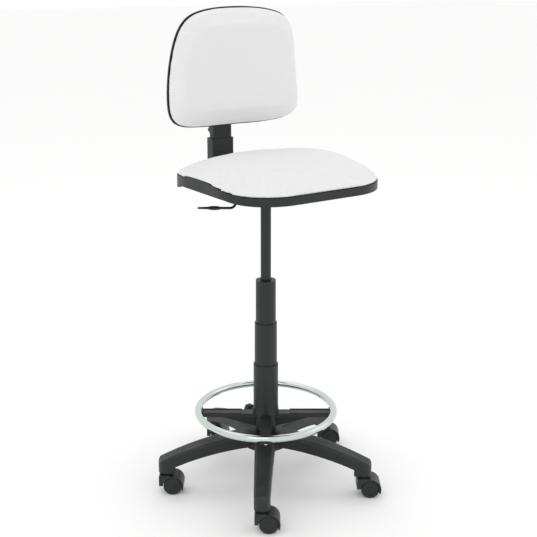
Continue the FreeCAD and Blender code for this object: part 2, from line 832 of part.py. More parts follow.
def teeNuts():
    nuts = []
    for x, y in boltSpots():
        nuts.append(pipe(tee_d / 2, bolt_d / 2, board_t, (x, y, mech_top_z)))
    for x, y in armSpots():
        nuts.append(pipe(tee_d / 2, arm_bolt_d / 2, board_t, (x, y, mech_top_z)))
    return Part.makeCompound(nuts)


def seatBolts():
    bolts = []
    for x, y in boltSpots():
        shank = cylinder(bolt_d / 2, board_t + steel_t, (x, y, mech_top_z - steel_t))
        bolts.append(shank.fuse(cylinder(bolt_d * 0.8, 5, (x, y, mech_top_z - steel_t - 5))))
    return Part.makeCompound(bolts)


def seatCushion():
    body = seatPlan(-cushion_over, 0, 2 * mech_top_z)
    body = body.common(sideBand(pan_high_edge, cushion_gap, pan_high_edge, cushion_rise))
    low = mech_top_z + board_t + cushion_gap
    heights = [z for share, z in pan_high_edge]
    core = seatPlan(board_inset, low, (max(heights) + min(heights) + cushion_rise) / 2)
    return body.fuse(core).removeSplitter()


# Back support

def barPath(front, rear, low, top, r):
    """Side view of the L-shaped bar between its outer and inner faces."""
    k = 1 - math.sqrt(0.5)
    t = rear - front
    ro = r + t
    return Part.Wire([
        line((0, bar_front_y, low), (0, rear - ro, low)),
        arc((0, rear - ro, low), (0, rear - ro * k, low + ro * k), (0, rear, low + ro)),
        line((0, rear, low + ro), (0, rear, top)),
        line((0, rear, top), (0, front, top)),
        line((0, front, top), (0, front, low + ro)),
        arc((0, front, low + ro), (0, front - r * k, low + t + r * k), (0, front - r, low + t)),
        line((0, front - r, low + t), (0, bar_front_y, low + t)),
        line((0, bar_front_y, low + t), (0, bar_front_y, low)),
    ])


def backBarSolid():
    wire = barPath(bar_face_y, bar_face_y + bar_t, barLowZ(), bar_top_z, bar_bend_r)
    solid = Part.Face(wire).extrude(Vector(bar_w, 0, 0))
    return moved(solid, -bar_w / 2, 0, 0)


def barLowZ():
    """The bar lies on the floor of the mechanism's box."""
    return mech_top_z - box_h + steel_t


def barBoltSpots():
    return [(x, bar_front_y + y) for x in (-bar_w / 4, bar_w / 4) for y in (12, 30)]


def backBar():
    bar = backBarSolid()
    for x, y in barBoltSpots():
        bar = bar.cut(cylinder(bolt_d / 2, bar_t * 4, (x, y, barLowZ() - bar_t)))
    return bar


def barBolts():
    bolts = []
    top = barLowZ() + bar_t
    for x, y in barBoltSpots():
        shank = cylinder(bolt_d / 2, bar_t + steel_t, (x, y, barLowZ() - steel_t))
        bolts.append(fuse([shank, cylinder(bolt_d * 0.75, 4, (x, y, top))]))
    return Part.makeCompound(bolts)


def barCover():
    half = cover_block_w / 2
    outer = block((-half, cover_block_front, cover_block_low_z),
                  (half, cover_block_rear, cover_block_top_z))
    upright = [e for e in outer.Edges if e.BoundBox.ZLength > 10]
    outer = outer.makeFillet(6, upright)
    return outer.cut(backBarSolid())


def carriageBlock():
    half = carriage_w / 2
    low = cover_block_top_z + carriage_gap
    outer = block((-half, carriage_front, low), (half, carriage_rear, carriage_plate_low + 1))
    return outer.makeFillet(6, [e for e in outer.Edges if e.BoundBox.ZLength > 10])


def barRoom(extra):
    half = bar_w / 2 + extra
    return block((-half, bar_face_y - extra, cover_block_top_z - 1),
                 (half, bar_face_y + bar_t + extra, bar_top_z + back_travel + 200))


def backCarriage():
    half = carriage_plate_w / 2
    plate = block((-half, back_mid_y, carriage_plate_low), (half, carriage_rear, carriage_plate_top))
    plate = plate.cut(bowlSlab(-back_cushion_t, back_cushion_t))
    body = carriageBlock().fuse(plate).removeSplitter()
    body = body.cut(barRoom(clear))
    body = body.cut(cylinder(stud_d / 2 + fit, 60, (0, bar_face_y, back_knob_z), (0, 1, 0)))
    shoe = cylinder(shoe_d / 2 + fit, 1 + shoe_t, (0, bar_face_y + bar_t, back_knob_z), (0, 1, 0))
    body = body.cut(shoe)
    for x, z in backScrewSpots():
        body = body.cut(cylinder(back_screw_d / 2, 60, (x, shellRearY() - 5, z), (0, 1, 0)))
    return body


def backShoe():
    start = bar_face_y + bar_t + clear / 2
    return cylinder(shoe_d / 2, shoe_t - 0.5, (0, start, back_knob_z), (0, 1, 0))


def backKnob():
    head = moved(knobHead(back_knob_d, back_knob_t, knob_lobes), 0, carriage_rear + 6, back_knob_z)
    start = bar_face_y + bar_t + clear / 2 + shoe_t
    return head.fuse(cylinder(stud_d / 2, carriage_rear + 8 - start, (0, start, back_knob_z), (0, 1, 0)))


# Backrest

def bowlSlab(front_add, rear_add):
    """The space between two round bowls whose common centre is in front of the chair."""
    centre = Vector(0, back_mid_y - back_bowl_r, back_bowl_z)
    outer = Part.makeSphere(back_bowl_r + rear_add, centre)
    return outer.cut(Part.makeSphere(back_bowl_r + front_add, centre))


def backOutline(inset):
    """Front view of the backrest, extruded through its depth: widest low down, round at the top."""
    half = back_w / 2 - inset
    low = back_low_z + inset
    height = back_top_z - inset - low
    right = [Vector(half * u, 0, low + height * v) for u, v in back_profile]
    left = [Vector(-p.x, 0, p.z) for p in reversed(right[1:-1])]
    curve = Part.BSplineCurve()
    curve.interpolate(Points=right + left, PeriodicFlag=True)
    plan = Part.Face(Part.Wire(curve.toShape()))
    return plan.extrude(Vector(0, shellRearY() * 2, 0))


def shellRearY():
    """Rear of the shell on the middle line."""
    return back_mid_y + back_cushion_t


def backCushion():
    return backOutline(shell_rim).common(bowlSlab(0, back_cushion_t - back_shell_t - cushion_gap))


def backShell():
    body = backOutline(0).common(bowlSlab(back_cushion_t - back_shell_t, back_cushion_t))
    for x, z in backScrewSpots():
        body = body.cut(cylinder(back_screw_d / 2, 60, (x, shellRearY() - back_shell_t - 4, z), (0, 1, 0)))
    return body


def backScrewSpots():
    return [(x, z) for x in (-back_screw_x, back_screw_x) for z in (back_screw_z1, back_screw_z2)]


def backScrews():
    start = shellRearY() - back_shell_t + 1
    screws = []
    for x, z in backScrewSpots():
        shank = cylinder(back_screw_d / 2, carriage_rear - start, (x, start, z), (0, 1, 0))
        screws.append(shank.fuse(cylinder(back_screw_d, 3, (x, carriage_rear, z), (0, 1, 0))))
    return Part.makeCompound(screws)


def main():
    os.makedirs("parts", exist_ok=True)
    save("star_base", starBase())
    save("caster_stems", casterStems())
    places = ["rear", "right_rear", "right_front", "left_front", "left_rear"]
    for place, angle in zip(places, legAngles()):
        save("caster_" + place + "_hood", atCaster(casterHood(), angle))
        save("caster_" + place + "_axle", atCaster(casterAxle(), angle))
        save("caster_" + place + "_wheel_a", atCaster(casterWheel(1), angle))
        save("caster_" + place + "_wheel_b", atCaster(casterWheel(-1), angle))
    save("column_tube", columnTube())
    save("column_plate", columnPlate())
    save("guide_bush", guideBush())
    save("piston_rod", pistonRod())
    save("thrust_bearing", thrustBearing())
    save("rod_clip", rodClip())
    save("gas_cylinder", gasCylinder())
    save("cylinder_guide", cylinderGuide())
    save("release_pin", releasePin())
    save("cover_top", coverTop())
    save("cover_middle", coverMiddle())
    save("cover_bottom", coverBottom())
    save("ring_hub", ringHub())
    save("foot_ring", footRing())
    save("ring_screws", ringScrews())
    save("ring_shoe", ringShoe())
    save("ring_knob", ringKnob())
    save("mechanism_housing", mechanismHousing())
    save("pivot_bracket", pivotBracket())
    save("lever_pivot", leverPivot())
    save("lift_lever", liftLever())
    save("lever_grip", leverGrip())
    save("seat_pan", seatPan())
    save("seat_board", seatBoard())
    save("seat_tee_nuts", teeNuts())
    save("seat_bolts", seatBolts())
    save("seat_cushion", seatCushion())
    save("back_bar", backBar())
    save("bar_bolts", barBolts())
    save("back_bar_cover", barCover())
    save("back_carriage", backCarriage())
    save("back_shoe", backShoe())
    save("back_knob", backKnob())
    save("back_shell", backShell())
    save("back_cushion", backCushion())
    save("back_screws", backScrews())


main()
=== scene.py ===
import json
import math

import bmesh
import bpy
import numpy as np
from mathutils import Euler, Matrix, Vector


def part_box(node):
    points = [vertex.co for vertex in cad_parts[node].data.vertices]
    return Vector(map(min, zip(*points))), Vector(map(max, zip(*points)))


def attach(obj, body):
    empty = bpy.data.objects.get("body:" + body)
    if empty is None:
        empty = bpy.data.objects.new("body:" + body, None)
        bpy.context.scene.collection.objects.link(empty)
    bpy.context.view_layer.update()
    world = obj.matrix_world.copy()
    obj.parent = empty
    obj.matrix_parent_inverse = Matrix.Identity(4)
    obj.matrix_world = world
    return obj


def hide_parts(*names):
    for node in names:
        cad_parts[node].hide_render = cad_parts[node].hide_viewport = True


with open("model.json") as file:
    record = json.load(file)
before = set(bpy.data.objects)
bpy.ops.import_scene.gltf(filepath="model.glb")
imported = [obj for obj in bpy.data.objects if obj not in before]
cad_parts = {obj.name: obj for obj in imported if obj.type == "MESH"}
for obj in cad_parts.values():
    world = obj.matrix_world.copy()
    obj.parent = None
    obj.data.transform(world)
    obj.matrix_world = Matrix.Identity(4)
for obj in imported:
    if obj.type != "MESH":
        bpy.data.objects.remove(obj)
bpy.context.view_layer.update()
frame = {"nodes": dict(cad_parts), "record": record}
nodeSlots = {part["node"]: part["material_slot"] for part in frame["record"]["subparts"]}
print("frame loaded:", len(frame["nodes"]), "nodes")

# camera and light

cameraView = {
    "azimuth": -34.0, "distance": 2.6518, "height": 1.3962, "pitchDown": 16.39, "lens": 69.45,
    "sensor": 36.0, "shiftX": 0.005, "farthest": 100.0,
}
studio = {
    "floorSize": 60.0, "floorColor": (0.965, 0.965, 0.96), "floorRoughness": 0.9, "skyStrength": 1.0,
    "lampAimHeight": 0.7,
}
lamps = {
    "keyLight": {"place": (-2.6, -2.4, 3.2), "size": 2.2, "power": 16.0},
    "fillLight": {"place": (3.0, -1.6, 2.2), "size": 2.6, "power": 8.0},
    "topLight": {"place": (0.2, 1.2, 3.8), "size": 3.0, "power": 12.0},
}


def addCamera(view):
    data = bpy.data.cameras.new("camera")
    data.lens = view["lens"]
    data.sensor_width = view["sensor"]
    data.shift_x = view["shiftX"]
    data.clip_end = view["farthest"]
    turn = math.radians(view["azimuth"])
    pitch = math.radians(view["pitchDown"])
    camera = bpy.data.objects.new("camera", data)
    bpy.context.scene.collection.objects.link(camera)
    outward = Vector((math.sin(turn), -math.cos(turn), 0.0))
    camera.location = outward * view["distance"] + Vector((0.0, 0.0, view["height"]))
    ahead = -outward * math.cos(pitch) - Vector((0.0, 0.0, math.sin(pitch)))
    camera.rotation_euler = ahead.to_track_quat("-Z", "Y").to_euler()
    bpy.context.scene.camera = camera


def addLamp(name, lamp):
    data = bpy.data.lights.new(name, "AREA")
    data.size = lamp["size"]
    data.energy = lamp["power"]
    light = bpy.data.objects.new(name, data)
    light.location = lamp["place"]
    aim = Vector((0, 0, studio["lampAimHeight"])) - light.location
    light.rotation_euler = aim.to_track_quat("-Z", "Y").to_euler()
    bpy.context.scene.collection.objects.link(light)


def addStudio():
    world = bpy.data.worlds.new("studioSky")
    world.use_nodes = True
    sky = world.node_tree.nodes["Background"]
    sky.inputs["Color"].default_value = (1.0, 1.0, 1.0, 1.0)
    sky.inputs["Strength"].default_value = studio["skyStrength"]
    bpy.context.scene.world = world
    half = studio["floorSize"] / 2
    mesh = bpy.data.meshes.new("studioFloor")
    corners = [(-half, -half, 0), (half, -half, 0), (half, half, 0), (-half, half, 0)]
    mesh.from_pydata(corners, [], [(0, 1, 2, 3)])
    floor = bpy.data.objects.new("studioFloor", mesh)
    bpy.context.scene.collection.objects.link(floor)
    paint = bpy.data.materials.new("floorPaint")
    paint.use_nodes = True
    shader = paint.node_tree.nodes["Principled BSDF"]
    shader.inputs["Base Color"].default_value = (*studio["floorColor"], 1.0)
    shader.inputs["Roughness"].default_value = studio["floorRoughness"]
    mesh.materials.append(paint)
    for name, lamp in lamps.items():
        addLamp(name, lamp)
    bpy.context.scene.view_settings.view_transform = "Standard"


addCamera(cameraView)
addStudio()
print("camera and studio set")

# shader groups

def newGroup(name, inputs, outputs):
    group = bpy.data.node_groups.new(name, "ShaderNodeTree")
    for label, kind, value in inputs:
        socket = group.interface.new_socket(name=label, in_out="INPUT", socket_type=kind)
        if value is not None:
            socket.default_value = value
    for label, kind in outputs:
        group.interface.new_socket(name=label, in_out="OUTPUT", socket_type=kind)
    return group, group.nodes.new("NodeGroupInput"), group.nodes.new("NodeGroupOutput")


def mathNode(group, operation, a, b=None, clamp=False):
    node = group.nodes.new("ShaderNodeMath")
    node.operation = operation
    node.use_clamp = clamp
    for i, value in enumerate((a, b)):
        if value is None:
            continue
        if isinstance(value, (int, float)):
            node.inputs[i].default_value = value
        else:
            group.links.new(value, node.inputs[i])
    return node.outputs[0]


def noiseNode(group, vector, scale, detail, roughness=0.5):
    node = group.nodes.new("ShaderNodeTexNoise")
    node.inputs["Detail"].default_value = detail
    node.inputs["Roughness"].default_value = roughness
    group.links.new(vector, node.inputs["Vector"])
    if isinstance(scale, (int, float)):
        node.inputs["Scale"].default_value = scale
    else:
        group.links.new(scale, node.inputs["Scale"])
    return node.outputs["Fac"]


def rangeNode(group, value, fromLow, fromHigh, toLow, toHigh):
    node = group.nodes.new("ShaderNodeMapRange")
    group.links.new(value, node.inputs["Value"])
    ends = {"From Min": fromLow, "From Max": fromHigh, "To Min": toLow, "To Max": toHigh}
    for label, amount in ends.items():
        if isinstance(amount, (int, float)):
            node.inputs[label].default_value = amount
        else:
            group.links.new(amount, node.inputs[label])
    return node.outputs["Result"]


def mixColor(group, factor, a, b, blend="MIX"):
    node = group.nodes.new("ShaderNodeMix")
    node.data_type = "RGBA"
    node.blend_type = blend
    for index, value in ((0, factor), (6, a), (7, b)):
        if isinstance(value, (int, float)):
            node.inputs[index].default_value = value
        elif isinstance(value, tuple):
            node.inputs[index].default_value = (*value, 1.0)
        else:
            group.links.new(value, node.inputs[index])
    return node.outputs[2]


def bumpNode(group, height, strength, distance):
    node = group.nodes.new("ShaderNodeBump")
    node.inputs["Distance"].default_value = distance
    if isinstance(strength, (int, float)):
        node.inputs["Strength"].default_value = strength
    else:
        group.links.new(strength, node.inputs["Strength"])
    group.links.new(height, node.inputs["Height"])
    return node.outputs["Normal"]


def makeGrainGroup():
    # spark-eroded mould grain with slow changes of gloss over the part
    group, inside, outside = newGroup("mouldedGrain", [
        ("Vector", "NodeSocketVector", None), ("Grain Scale", "NodeSocketFloat", 900.0),
        ("Depth", "NodeSocketFloat", 0.25), ("Gloss Low", "NodeSocketFloat", 0.38),
        ("Gloss High", "NodeSocketFloat", 0.5)],
        [("Roughness", "NodeSocketFloat"), ("Shade", "NodeSocketFloat"), ("Normal", "NodeSocketVector")])
    vector = inside.outputs["Vector"]
    grain = noiseNode(group, vector, inside.outputs["Grain Scale"], 3.0, 0.6)
    slow = noiseNode(group, vector, 14.0, 4.0, 0.6)
    rough = rangeNode(group, slow, 0.3, 0.7, inside.outputs["Gloss Low"], inside.outputs["Gloss High"])
    group.links.new(rough, outside.inputs["Roughness"])
    slowShare = mathNode(group, "MULTIPLY", slow, 0.7)
    grainShare = mathNode(group, "MULTIPLY", grain, 0.3)
    group.links.new(mathNode(group, "ADD", slowShare, grainShare), outside.inputs["Shade"])
    group.links.new(bumpNode(group, grain, inside.outputs["Depth"], 0.0004), outside.inputs["Normal"])
    return group


def makeWeaveGroup():
    # plain weave: warp and weft threads pass over each other in turn, and no two threads are quite as thick
    group, inside, outside = newGroup("plainWeave", [
        ("Vector", "NodeSocketVector", None), ("Threads Per Metre", "NodeSocketFloat", 900.0),
        ("Depth", "NodeSocketFloat", 0.5)],
        [("Height", "NodeSocketFloat"), ("Slub", "NodeSocketFloat"), ("Normal", "NodeSocketVector")])
    scaled = group.nodes.new("ShaderNodeVectorMath")
    scaled.operation = "SCALE"
    group.links.new(inside.outputs["Vector"], scaled.inputs[0])
    group.links.new(inside.outputs["Threads Per Metre"], scaled.inputs["Scale"])
    wobble = group.nodes.new("ShaderNodeTexNoise")
    wobble.inputs["Scale"].default_value = 0.22
    wobble.inputs["Detail"].default_value = 2.0
    group.links.new(scaled.outputs[0], wobble.inputs["Vector"])
    shift = group.nodes.new("ShaderNodeVectorMath")
    shift.operation = "MULTIPLY_ADD"
    group.links.new(wobble.outputs["Color"], shift.inputs[0])
    shift.inputs[1].default_value = (0.9, 0.9, 0.0)
    group.links.new(scaled.outputs[0], shift.inputs[2])
    split = group.nodes.new("ShaderNodeSeparateXYZ")
    group.links.new(shift.outputs[0], split.inputs[0])
    threads = []
    for axis in ("X", "Y"):
        wave = mathNode(group, "SINE", mathNode(group, "MULTIPLY", split.outputs[axis], math.pi))
        threads.append(mathNode(group, "ABSOLUTE", wave))
    floors = [mathNode(group, "FLOOR", split.outputs[axis]) for axis in ("X", "Y")]
    turn = mathNode(group, "PINGPONG", mathNode(group, "ADD", floors[0], floors[1]), 1.0)
    over = mathNode(group, "MULTIPLY", turn, threads[0])
    under = mathNode(group, "MULTIPLY", mathNode(group, "SUBTRACT", 1.0, turn), threads[1])
    height = mathNode(group, "ADD", over, under)
    slub = noiseNode(group, inside.outputs["Vector"], 260.0, 4.0, 0.65)
    total = mathNode(group, "ADD", height, mathNode(group, "MULTIPLY", slub, 0.6))
    group.links.new(height, outside.inputs["Height"])
    group.links.new(slub, outside.inputs["Slub"])
    group.links.new(bumpNode(group, total, inside.outputs["Depth"], 0.0005), outside.inputs["Normal"])
    return group


def makeDustGroup():
    # pale dust that settles on faces that look up, thin and uneven
    group, inside, outside = newGroup("settledDust", [
        ("Vector", "NodeSocketVector", None), ("Amount", "NodeSocketFloat", 0.2)],
        [("Mask", "NodeSocketFloat")])
    geometry = group.nodes.new("ShaderNodeNewGeometry")
    split = group.nodes.new("ShaderNodeSeparateXYZ")
    group.links.new(geometry.outputs["Normal"], split.inputs[0])
    upward = rangeNode(group, split.outputs["Z"], 0.2, 1.0, 0.0, 1.0)
    spots = noiseNode(group, inside.outputs["Vector"], 38.0, 6.0, 0.7)
    patches = rangeNode(group, spots, 0.42, 0.72, 0.0, 1.0)
    settled = mathNode(group, "MULTIPLY", upward, patches)
    mask = mathNode(group, "MULTIPLY", settled, inside.outputs["Amount"], True)
    group.links.new(mask, outside.inputs["Mask"])
    return group


def makeScratchGroup():
    # fine rubbing marks drawn out along one direction
    group, inside, outside = newGroup("rubMarks", [
        ("Vector", "NodeSocketVector", None), ("Stretch", "NodeSocketVector", (1.0, 1.0, 1.0)),
        ("Roughness Low", "NodeSocketFloat", 0.05), ("Roughness High", "NodeSocketFloat", 0.15)],
        [("Roughness", "NodeSocketFloat"), ("Marks", "NodeSocketFloat")])
    drawn = group.nodes.new("ShaderNodeVectorMath")
    drawn.operation = "MULTIPLY"
    group.links.new(inside.outputs["Vector"], drawn.inputs[0])
    group.links.new(inside.outputs["Stretch"], drawn.inputs[1])
    marks = noiseNode(group, drawn.outputs[0], 400.0, 5.0, 0.6)
    group.links.new(rangeNode(group, marks, 0.35, 0.75, inside.outputs["Roughness Low"],
                              inside.outputs["Roughness High"]), outside.inputs["Roughness"])
    group.links.new(marks, outside.inputs["Marks"])
    return group


grainGroup = makeGrainGroup()
weaveGroup = makeWeaveGroup()
dustGroup = makeDustGroup()
scratchGroup = makeScratchGroup()

# materials

def newMaterial(name):
    material = bpy.data.materials.new(name)
    material.use_nodes = True
    tree = material.node_tree
    return material, tree, tree.nodes["Principled BSDF"]


def useGroup(tree, group, vector, values):
    node = tree.nodes.new("ShaderNodeGroup")
    node.node_tree = group
    tree.links.new(vector, node.inputs["Vector"])
    for label, value in values.items():
        node.inputs[label].default_value = value
    return node


def objectVector(tree):
    return tree.nodes.new("ShaderNodeTexCoord").outputs["Object"]


def plasticMaterial(name, look):
    material, tree, shader = newMaterial(name)
    vector = objectVector(tree)
    grain = useGroup(tree, grainGroup, vector, {
        "Grain Scale": look["grainScale"], "Depth": look["grainDepth"],
        "Gloss Low": look["glossLow"], "Gloss High": look["glossHigh"]})
    dust = useGroup(tree, dustGroup, vector, {"Amount": look["dust"]})
    shade = mixColor(tree, grain.outputs["Shade"], look["dark"], look["light"])
    dusty = mixColor(tree, dust.outputs["Mask"], shade, look["dustColor"])
    tree.links.new(dusty, shader.inputs["Base Color"])
    tree.links.new(grain.outputs["Roughness"], shader.inputs["Roughness"])
    tree.links.new(grain.outputs["Normal"], shader.inputs["Normal"])
    shader.inputs["Specular IOR Level"].default_value = look["specular"]
    return material


def metalMaterial(name, look):
    material, tree, shader = newMaterial(name)
    vector = objectVector(tree)
    marks = useGroup(tree, scratchGroup, vector, {
        "Stretch": look["stretch"], "Roughness Low": look["roughLow"], "Roughness High": look["roughHigh"]})
    rubbed = mixColor(tree, marks.outputs["Marks"], look["dark"], look["light"])
    tree.links.new(rubbed, shader.inputs["Base Color"])
    tree.links.new(marks.outputs["Roughness"], shader.inputs["Roughness"])
    tree.links.new(bumpNode(tree, marks.outputs["Marks"], look["bump"], 0.0002), shader.inputs["Normal"])
    shader.inputs["Metallic"].default_value = look["metallic"]
    return material


def clothMaterial(name, look):
    material, tree, shader = newMaterial(name)
    threadMap = tree.nodes.new("ShaderNodeUVMap")
    threadMap.uv_map = "threads"
    weave = useGroup(tree, weaveGroup, threadMap.outputs["UV"], {
        "Threads Per Metre": look["threads"], "Depth": look["depth"]})
    cloudy = noiseNode(tree, objectVector(tree), 9.0, 5.0, 0.6)
    thread = mixColor(tree, weave.outputs["Height"], look["gap"], look["thread"])
    fleck = rangeNode(tree, weave.outputs["Slub"], 0.35, 0.7, 0.0, look["fleck"])
    flecked = mixColor(tree, fleck, thread, look["fleckColor"])
    clouded = mixColor(tree, mathNode(tree, "MULTIPLY", cloudy, look["cloud"]), flecked, look["cloudColor"])
    tree.links.new(clouded, shader.inputs["Base Color"])
    tree.links.new(rangeNode(tree, weave.outputs["Slub"], 0.3, 0.7, 0.82, 0.95), shader.inputs["Roughness"])
    tree.links.new(weave.outputs["Normal"], shader.inputs["Normal"])
    shader.inputs["Sheen Weight"].default_value = look["sheen"]
    shader.inputs["Sheen Roughness"].default_value = 0.5
    shader.inputs["Specular IOR Level"].default_value = 0.2
    return material


def woodMaterial(name, look):
    material, tree, shader = newMaterial(name)
    mapping = tree.nodes.new("ShaderNodeMapping")
    mapping.inputs["Scale"].default_value = (1.0, 8.0, 55.0)
    tree.links.new(objectVector(tree), mapping.inputs["Vector"])
    plies = noiseNode(tree, mapping.outputs["Vector"], 14.0, 6.0, 0.6)
    tree.links.new(mixColor(tree, plies, look["dark"], look["light"]), shader.inputs["Base Color"])
    tree.links.new(bumpNode(tree, plies, 0.2, 0.0005), shader.inputs["Normal"])
    shader.inputs["Roughness"].default_value = 0.65
    return material


looks = {
    "black_nylon": {"dark": (0.0085, 0.0120, 0.0110), "light": (0.0165, 0.0215, 0.0200),
                    "grainScale": 1400.0, "grainDepth": 0.22, "glossLow": 0.36, "glossHigh": 0.50,
                    "dust": 0.10, "dustColor": (0.10, 0.11, 0.105), "specular": 0.4},
    "wheel_nylon": {"dark": (0.0070, 0.0090, 0.0085), "light": (0.0125, 0.0155, 0.0150),
                    "grainScale": 1800.0, "grainDepth": 0.14, "glossLow": 0.30, "glossHigh": 0.45,
                    "dust": 0.14, "dustColor": (0.09, 0.09, 0.085), "specular": 0.4},
    "white_acetal": {"dark": (0.70, 0.70, 0.67), "light": (0.82, 0.82, 0.80), "grainScale": 1200.0,
                     "grainDepth": 0.1, "glossLow": 0.3, "glossHigh": 0.4, "dust": 0.0,
                     "dustColor": (0.6, 0.6, 0.6), "specular": 0.5},
}
metals = {
    "black_steel": {"dark": (0.012, 0.015, 0.014), "light": (0.026, 0.030, 0.029),
                    "stretch": (1.0, 1.0, 0.35), "roughLow": 0.28, "roughHigh": 0.42, "bump": 0.25,
                    "metallic": 0.35},
    "zinc_steel": {"dark": (0.42, 0.43, 0.44), "light": (0.66, 0.67, 0.68), "stretch": (1.0, 1.0, 0.2),
                   "roughLow": 0.25, "roughHigh": 0.42, "bump": 0.2, "metallic": 1.0},
    "chrome": {"dark": (0.52, 0.58, 0.55), "light": (0.68, 0.73, 0.70), "stretch": (1.0, 1.0, 1.0),
               "roughLow": 0.05, "roughHigh": 0.13, "bump": 0.03, "metallic": 1.0},
}
cloths = {
    "white_fabric": {"thread": (0.90, 0.90, 0.90), "gap": (0.68, 0.68, 0.69), "threads": 1050.0,
                     "depth": 0.45, "fleck": 0.5, "fleckColor": (0.70, 0.70, 0.72), "cloud": 0.16,
                     "cloudColor": (0.78, 0.78, 0.80), "sheen": 0.15},
}
woods = {"plywood": {"dark": (0.36, 0.24, 0.13), "light": (0.62, 0.46, 0.28)}}

materials = {name: plasticMaterial(name, look) for name, look in looks.items()}
materials.update({name: metalMaterial(name, look) for name, look in metals.items()})
materials.update({name: clothMaterial(name, look) for name, look in cloths.items()})
materials.update({name: woodMaterial(name, look) for name, look in woods.items()})
for node, thing in frame["nodes"].items():
    for place in thing.material_slots:
        place.material = materials[nodeSlots[node]]
print("materials made:", len(materials))

# mesh helpers

def addPiece(name, mesh, slotName, body, replaced=()):
    piece = bpy.data.objects.new(name, mesh)
    bpy.context.scene.collection.objects.link(piece)
    if not mesh.materials:
        mesh.materials.append(materials[slotName])
    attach(piece, body)
    if replaced:
        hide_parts(*replaced)
    return piece


def smoothFaces(mesh):
    mesh.polygons.foreach_set("use_smooth", [True] * len(mesh.polygons))


def fixNormals(mesh, weld=1e-5):
    work = bmesh.new()
    work.from_mesh(mesh)
    bmesh.ops.remove_doubles(work, verts=work.verts, dist=weld)
    bmesh.ops.recalc_face_normals(work, faces=work.faces)
    work.to_mesh(mesh)
    work.free()


def roundedOutline(halfWidth, halfLength, corner, count):
    # even steps along a rectangle with round corners, starting at the middle of the +X side
    straightX = 2 * (halfWidth - corner)
    straightY = 2 * (halfLength - corner)
    bend = math.pi / 2 * corner
    runs = [straightY / 2, bend, straightX, bend, straightY, bend, straightX, bend, straightY / 2]
    total = sum(runs)
    points = []
    for i in range(count):
        s = total * i / count
        leg = 0
        while s > runs[leg]:
            s -= runs[leg]
            leg += 1
        x, y = halfWidth - corner, halfLength - corner
        turn = s / corner
        points.append({
            0: (halfWidth, s),
            1: (x + corner * math.cos(turn), y + corner * math.sin(turn)),
            2: (x - s, halfLength),
            3: (-x - corner * math.sin(turn), y + corner * math.cos(turn)), 4: (-halfWidth, y - s),
            5: (-x - corner * math.cos(turn), -y - corner * math.sin(turn)), 6: (-x + s, -halfLength),
            7: (x + corner * math.sin(turn), -y - corner * math.cos(turn)), 8: (halfWidth, -y + s)}[leg])
    return points


def smoothPath(points, steps, closed):
    # a smooth path through the points, each span cut into the same number of steps
    points = [Vector(p) for p in points]
    count = len(points)
    spans = count if closed else count - 1
    path = []
    for i in range(spans):
        if closed:
            a, b, c, d = (points[(i + k) % count] for k in (-1, 0, 1, 2))
        else:
            b, c = points[i], points[i + 1]
            a = points[i - 1] if i else b * 2 - c
            d = points[i + 2] if i + 2 < count else c * 2 - b
        for step in range(steps):
            t = step / steps
            path.append(0.5 * (2 * b + (c - a) * t + (2 * a - 5 * b + 4 * c - d) * t * t
                               + (3 * b - a - 3 * c + d) * t * t * t))
    if not closed:
        path.append(points[-1])
    return path


def evenly(path, count):
    # the same closed path cut into equal steps
    flat = np.array([tuple(p) for p in path] + [tuple(path[0])])
    run = np.concatenate([[0.0], np.cumsum(np.linalg.norm(np.diff(flat, axis=0), axis=1))])
    marks = np.linspace(0.0, run[-1], count, endpoint=False)
    return [tuple(float(np.interp(m, run, flat[:, k])) for k in range(flat.shape[1])) for m in marks]


def levelAt(edge, share):
    # height of an edge that runs through (share, height) points
    path = smoothPath([(a, b, 0.0) for a, b in edge], 12, False)
    return float(np.interp(share, [p.x for p in path], [p.y for p in path]))


def loopedSolid(name, loops, closed):
    # skin over a row of loops with the same number of points; closed joins the last loop to the first
    count = len(loops[0])
    points = [tuple(p) for loop in loops for p in loop]
    faces = []
    for r in range(len(loops) if closed else len(loops) - 1):
        a = r * count
        b = ((r + 1) % len(loops)) * count
        for i in range(count):
            j = (i + 1) % count
            faces.append((a + i, b + i, b + j, a + j))
    if not closed:
        faces.append(tuple(range(count)))
        faces.append(tuple(range(len(points) - count, len(points))))
    mesh = bpy.data.meshes.new(name)
    mesh.from_pydata(points, [], faces)
    fixNormals(mesh)
    return mesh


def turnedSolid(name, profile, count, frameOf):
    # a profile of (radius, level) turned about an axis; frameOf gives the axis as a matrix
    loops = []
    for radius, level in profile:
        ring = []
        for i in range(count):
            turn = 2 * math.pi * i / count
            ring.append(frameOf @ Vector((radius * math.cos(turn), radius * math.sin(turn), level)))
        loops.append(ring)
    return loopedSolid(name, loops, False)


def axisFrame(place, axis):
    return Matrix.Translation(place) @ Vector(axis).to_track_quat("Z", "Y").to_matrix().to_4x4()


def shadeByAngle(mesh, degrees):
    smoothFaces(mesh)
    work = bmesh.new()
    work.from_mesh(mesh)
    for edge in work.edges:
        if len(edge.link_faces) == 2:
            edge.smooth = edge.calc_face_angle(0.0) < math.radians(degrees)
    work.to_mesh(mesh)
    work.free()


